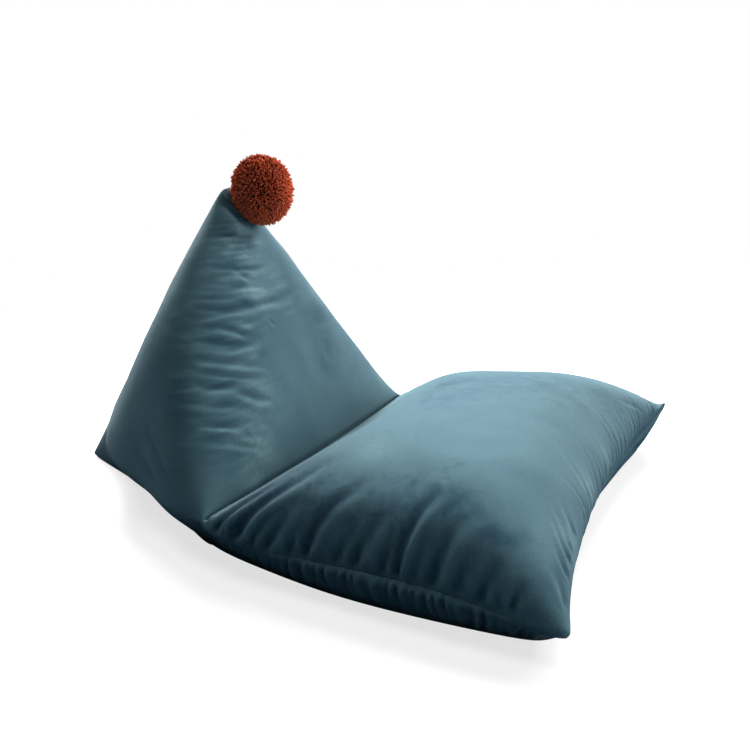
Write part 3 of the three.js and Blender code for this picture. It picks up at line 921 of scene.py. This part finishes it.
# Pompom: cut yarn ends all round a tied middle, pressed flat where it meets the cloth
pompomSettings = {
    "ends": 3150,               # yarn ends over the ball
    "scatter": 0.018,           # how far they stray from even places
    "inside": 1.6,              # mean clipped ends lie this far inside the CAD ball
    "uneven": 1.3,              # how much the clipped lengths differ
    "root": 0.6,                # share of the radius where the visible yarn starts
    "shortest": 0.45,           # the same for the shortest end that is kept
    "plies": 3, "plySides": 3,
    "stations": (0, 0.45, 0.82, 1),         # places along a ply, root to cut end
    "plyRadius": (0.6, 0.85, 0.95, 0.5),
    "splay": (0.4, 0.5, 0.62, 0.75),
    "bow": (0, 0.2, 0.6, 1), "lean": 0.7,
    "twist": 1.6,               # radians from root to end
    "shadeAt": (0, 0.35, 0.8, 1),           # painted shade: 0 dark between the ends, 1 full colour
    "core": 0.8,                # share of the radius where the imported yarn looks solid
    "coreShort": 2.5, "endShort": 1.5,      # stop this far short of the cloth
    "clear": 0.8,               # kept between yarn and cloth
    "seed": 12,
    "rust": (0.24, 0.033, 0.013, 1),
    "lightRust": (0.60, 0.120, 0.052, 1),
    # painted shade between the yarn ends and on the core
    "gapShadeRust": (0.105, 0.0085, 0.0030, 1),
    "paintedShadeSide": (0.5, 0.25, 0.8), "paintedShade": 0.75,     # painted shade on the ends facing up and to the right, painted light on those facing down and left
    "gapShadeFalloff": 1.8,         # how quickly the painted shade darkens the yarn inward
    "fibres": {"Scale": 1600.0},
    "fleckShare": 0.25,
    "bump": 0.3, "bumpDepth": 0.0004,
    "roughness": 0.9,
}


def evenDirections(count):
    k = np.arange(count) + 0.5
    height = 1 - 2 * k / count
    turn = k * math.pi * (3 - math.sqrt(5))
    flat = np.sqrt(1 - height ** 2)
    return np.stack([flat * np.cos(turn), flat * np.sin(turn), height], -1)


def yarnPly(places, radii, sides, axis, sideways):
    # rings of points round a short strand
    upward = np.cross(axis, sideways)
    turn = np.arange(sides) / sides * 2 * math.pi
    ring = np.cos(turn)[:, None] * sideways + np.sin(turn)[:, None] * upward
    return (places[:, None] + ring[None] * radii[:, None, None]).reshape(-1, 3)


def packedCore(p, clothTree, centre, half, around=28, upward=14):
    # the heart of the ball, coloured with painted shade, kept clear of the cloth
    points, faces = [], []
    for j in range(1, upward):
        for i in range(around):
            turn, tilt = 2 * math.pi * i / around, math.pi * j / upward
            flat = math.sin(tilt)
            direction = np.array((math.cos(turn) * flat, math.sin(turn) * flat, math.cos(tilt)))
            reach = p["core"] / np.linalg.norm(direction / half)
            hit = clothTree.ray_cast(Vector(centre * mm), Vector(direction))[3]
            if hit is not None:
                reach = min(reach, hit / mm - p["coreShort"])
            points.append(centre + direction * reach)
            if j < upward - 1:
                right, k = (i + 1) % around - i, len(points) - 1
                faces.append((k, k + around, k + around + right, k + right))
    faces.append(tuple(range(around)))
    faces.append(tuple(range(len(points) - 1, len(points) - 1 - around, -1)))
    return np.array(points), faces


def clippedReach(p, direction, centre, radius, clothTree, rng):
    # how far out an end is cut, short of the cloth
    reach = radius + rng.normal(0, p["uneven"])
    hit = clothTree.ray_cast(Vector(centre * mm), Vector(direction))[3]
    if hit is not None and hit / mm < reach + 2:
        reach = hit / mm - p["endShort"]
    return reach


def yarnEnd(p, direction, centre, root, reach, rng):
    # the plies of one cut end: their points and their tones
    sideways = np.cross(direction, rng.normal(size=3))
    sideways /= np.linalg.norm(sideways)
    upward = np.cross(direction, sideways)
    lean = rng.normal(0, p["lean"], 2)
    bow = np.array(p["bow"])
    # random tone, with painted shade on the upper right side and painted light on the lower left
    tone = mix(0.3, 1, rng.uniform()) - p["paintedShade"] * direction @ np.array(p["paintedShadeSide"])
    points, shade = [], []
    for ply in range(p["plies"]):
        twist = ply * 2 * math.pi / p["plies"] + np.linspace(0, p["twist"], len(bow))
        spread = np.array(p["splay"]) * rng.uniform(0.8, 1.2)
        along = np.array(p["stations"]) * (reach + rng.normal(0, 0.5) - root) + root
        places = centre + along[:, None] * direction
        places = places + (spread * np.cos(twist) + bow * lean[0])[:, None] * sideways
        places = places + (spread * np.sin(twist) + bow * lean[1])[:, None] * upward
        radii = np.array(p["plyRadius"]) * rng.uniform(0.85, 1.15)
        points.append(yarnPly(places, radii, p["plySides"], direction, sideways))
        shade.append(np.full(len(points[-1]), clip01(tone + rng.normal(0, 0.12))))
    return points, shade


def plyFaces(p):
    sides, stations = p["plySides"], len(p["stations"])
    faces = []
    for low in range(0, (stations - 1) * sides, sides):
        for k in range(sides):
            right = (k + 1) % sides
            faces.append((low + k, low + right, low + sides + right, low + sides + k))
    return faces + [tuple((stations - 1) * sides + k for k in range(sides))]


def liftOffCloth(points, clothTree, clear):
    for i, place in enumerate(points):
        near, facing, _, _ = clothTree.find_nearest(Vector(place), 0.012)
        if near is None:
            continue
        height = (Vector(place) - near).dot(facing)
        if height < clear:
            points[i] = place + np.array(facing) * (clear - height)


def yarnPoints(p, clothTree, centre, half):
    # all the plies, one array of points and one of tones for each
    rng = np.random.default_rng(p["seed"])
    directions = evenDirections(p["ends"]) + rng.normal(0, p["scatter"], (p["ends"], 3))
    directions /= np.linalg.norm(directions, axis=1, keepdims=True)
    points, shade = [], []
    for direction in directions:
        radius = 1 / np.linalg.norm(direction / half)
        reach = clippedReach(p, direction, centre, radius, clothTree, rng)
        if reach < radius * p["shortest"]:
            continue
        root = min(p["root"] * radius, reach - 6)
        endPoints, endShade = yarnEnd(p, direction, centre, root, reach, rng)
        points += endPoints
        shade += endShade
    return points, shade


def makePompom(p, clothTree):
    low, high = (np.array(corner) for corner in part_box("pompom"))
    centre = (low + high) / 2 / mm
    half = (high - low) / 2 / mm - p["inside"]
    points, shade = yarnPoints(p, clothTree, centre, half)
    depth = [np.repeat(p["shadeAt"], p["plySides"])] * len(points)
    step, ply = len(points[0]), plyFaces(p)
    faces = [tuple(start * step + v for v in face) for start in range(len(points)) for face in ply]
    core, coreFaces = packedCore(p, clothTree, centre, half)
    faces += [tuple(len(points) * step + v for v in face) for face in coreFaces]
    points = np.concatenate(points + [core]) * mm
    liftOffCloth(points, clothTree, p["clear"] * mm)
    mesh = bpy.data.meshes.new("pompomYarn")
    mesh.from_pydata(points.tolist(), [], faces)
    mesh.shade_smooth()
    # the core takes the full painted shade
    dark = np.zeros(len(core))
    for name, values in (("yarnGapShade", depth + [dark]), ("yarnToneAndSideShade", shade + [dark])):
        place = mesh.attributes.new(name, "FLOAT", "POINT")
        place.data.foreach_set("value", np.concatenate(values))
    piece = bpy.data.objects.new("pompomYarn", mesh)
    bpy.context.collection.objects.link(piece)
    return piece


def yarnMaterial(p):
    material, tree, shader = newMaterial("rustYarn", p["roughness"], 0.02)
    place = tree.nodes.new("ShaderNodeTexCoord").outputs["Object"]
    fibres = groupNode(tree, fibreTips, place, p["fibres"])
    colour = mixedColour(tree, p["rust"], p["lightRust"], attributeOf(tree, "yarnToneAndSideShade"))
    # painted shade between the ends, deepest at their roots
    shown = mathNode(tree, "POWER", attributeOf(tree, "yarnGapShade"), p["gapShadeFalloff"])
    colour = mixedColour(tree, p["gapShadeRust"], colour, shown)
    addFibres(tree, shader, colour, fibres, p["fleckShare"], p["bump"], p["bumpDepth"])
    return material


clothTree = treeOf(grid)
pompomObject = makePompom(pompomSettings, clothTree)
pompomObject.data.materials.append(yarnMaterial(pompomSettings))
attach(pompomObject, "root")
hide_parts("pompom")
print("pompom", len(pompomObject.data.polygons), "faces")


# Pale seamless floor and soft lamps from the right, as in the photo
stageSettings = {
    "floorWidth": 40,           # metres
    "floorDrop": 0.0005,
    "floorTone": (0.83, 0.83, 0.83, 1),
    "bounceTone": (0.118, 0.166, 0.212, 1),     # what the floor gives back to the cloth
    "shadowPale": 0.72,         # how much the floor's shadow is lifted
    "whiteFrom": (1.3, 3.0),    # metres out, the floor fades into the backdrop
    "aim": (0, 0, 0.2),
    "lampDistance": 8, "lampWidth": 3.6,
    "lamps": (                  # name, degrees round, degrees up, watts
        ("rearRightLamp", 135, 37, 2350),
        ("rightLamp", 90, 35, 2040),
        ("frontRightLamp", 45, 35, 680),
        ("rearLamp", 180, 62, 420),
        ("lowFrontLamp", 0, 8, 360),
    ),
}


def makeLamp(s, name, turn, height, watts):
    data = bpy.data.lights.new(name, "AREA")
    data.shape = "DISK"
    data.size = s["lampWidth"]
    data.energy = watts
    lamp = bpy.data.objects.new(name, data)
    bpy.context.collection.objects.link(lamp)
    away = outward(turn, height)
    lamp.location = Vector(s["aim"]) + away * s["lampDistance"]
    lamp.rotation_euler = away.to_track_quat("Z", "Y").to_euler()
    lamp.visible_camera = False


def floorMaterial(s):
    # seen by the camera it is pale with a lifted shadow; the cloth sees a dimmer floor
    material, tree, pale = newMaterial("paleFloor", 0.9, 0.1)
    pale.inputs["Base Color"].default_value = s["floorTone"]
    reach = tree.nodes.new("ShaderNodeVectorMath")
    reach.operation = "LENGTH"
    tree.links.new(tree.nodes.new("ShaderNodeTexCoord").outputs["Object"], reach.inputs[0])
    out = reach.outputs["Value"]
    fade = mapped(tree, out, *s["whiteFrom"], s["shadowPale"], 1, "SMOOTHSTEP")
    lifted = tree.nodes.new("ShaderNodeMixShader")
    tree.links.new(fade, lifted.inputs["Fac"])
    tree.links.new(pale.outputs["BSDF"], lifted.inputs[1])
    tree.links.new(tree.nodes.new("ShaderNodeEmission").outputs["Emission"], lifted.inputs[2])
    bounce = tree.nodes.new("ShaderNodeBsdfDiffuse")
    bounce.inputs["Color"].default_value = s["bounceTone"]
    choice = tree.nodes.new("ShaderNodeMixShader")
    tree.links.new(tree.nodes.new("ShaderNodeLightPath").outputs["Is Camera Ray"], choice.inputs["Fac"])
    tree.links.new(bounce.outputs["BSDF"], choice.inputs[1])
    tree.links.new(lifted.outputs["Shader"], choice.inputs[2])
    tree.links.new(choice.outputs["Shader"], tree.nodes["Material Output"].inputs["Surface"])
    return material


def whiteBackdrop():
    # it shows white and gives no light
    world = bpy.data.worlds.new("studio")
    world.use_nodes = True
    nodes, links = world.node_tree.nodes, world.node_tree.links
    nodes["Background"].inputs["Color"].default_value = (1, 1, 1, 1)
    seen = nodes.new("ShaderNodeLightPath").outputs["Is Camera Ray"]
    links.new(seen, nodes["Background"].inputs["Strength"])
    return world


def makeStage(s):
    bpy.ops.mesh.primitive_plane_add(size=s["floorWidth"], location=(0, 0, -s["floorDrop"]))
    floor = bpy.context.object
    floor.name = "studioFloor"
    floor.data.materials.append(floorMaterial(s))
    bpy.context.scene.world = whiteBackdrop()
    for lamp in s["lamps"]:
        makeLamp(s, *lamp)
    bpy.context.scene.view_settings.view_transform = "Standard"


makeStage(stageSettings)
print("stage set")
